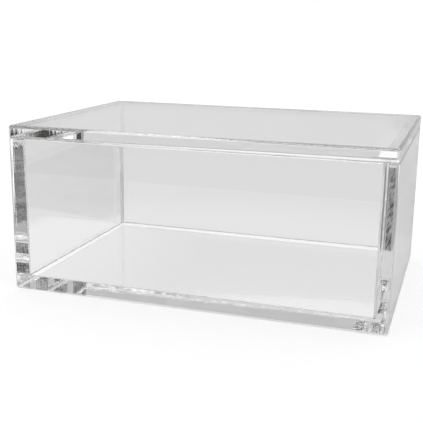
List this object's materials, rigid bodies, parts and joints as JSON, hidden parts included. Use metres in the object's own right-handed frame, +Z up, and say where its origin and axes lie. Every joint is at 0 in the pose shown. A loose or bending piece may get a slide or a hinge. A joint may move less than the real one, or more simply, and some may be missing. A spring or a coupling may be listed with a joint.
{
  "type": "acrylic storage box with lid",
  "caption": "Clear rectangular acrylic box of thick bonded panels with polished round edges and a loose flat lid that lifts off.",
  "frame": {"origin": "centre of the underside", "axes": "+X along the long side to the right, +Y to the back, +Z up"},
  "size_m": [0.3, 0.203, 0.134],
  "materials": {
    "clear_acrylic": "clear cast acrylic with polished faces and edges",
    "clear_acrylic_lid": "clear cast acrylic with polished faces and edges"
  },
  "bodies": {
    "box": {"base_plate": "clear_acrylic", "front_wall": "clear_acrylic", "back_wall": "clear_acrylic", "left_wall": "clear_acrylic", "right_wall": "clear_acrylic"},
    "lid": {"lid_plate": "clear_acrylic_lid"}
  },
  "joints": [
    {"name": "lid_lift", "type": "slide", "parent": "box", "child": "lid", "axis": [0, 0, 1], "range_m": [0, 0.15]}
  ]
}
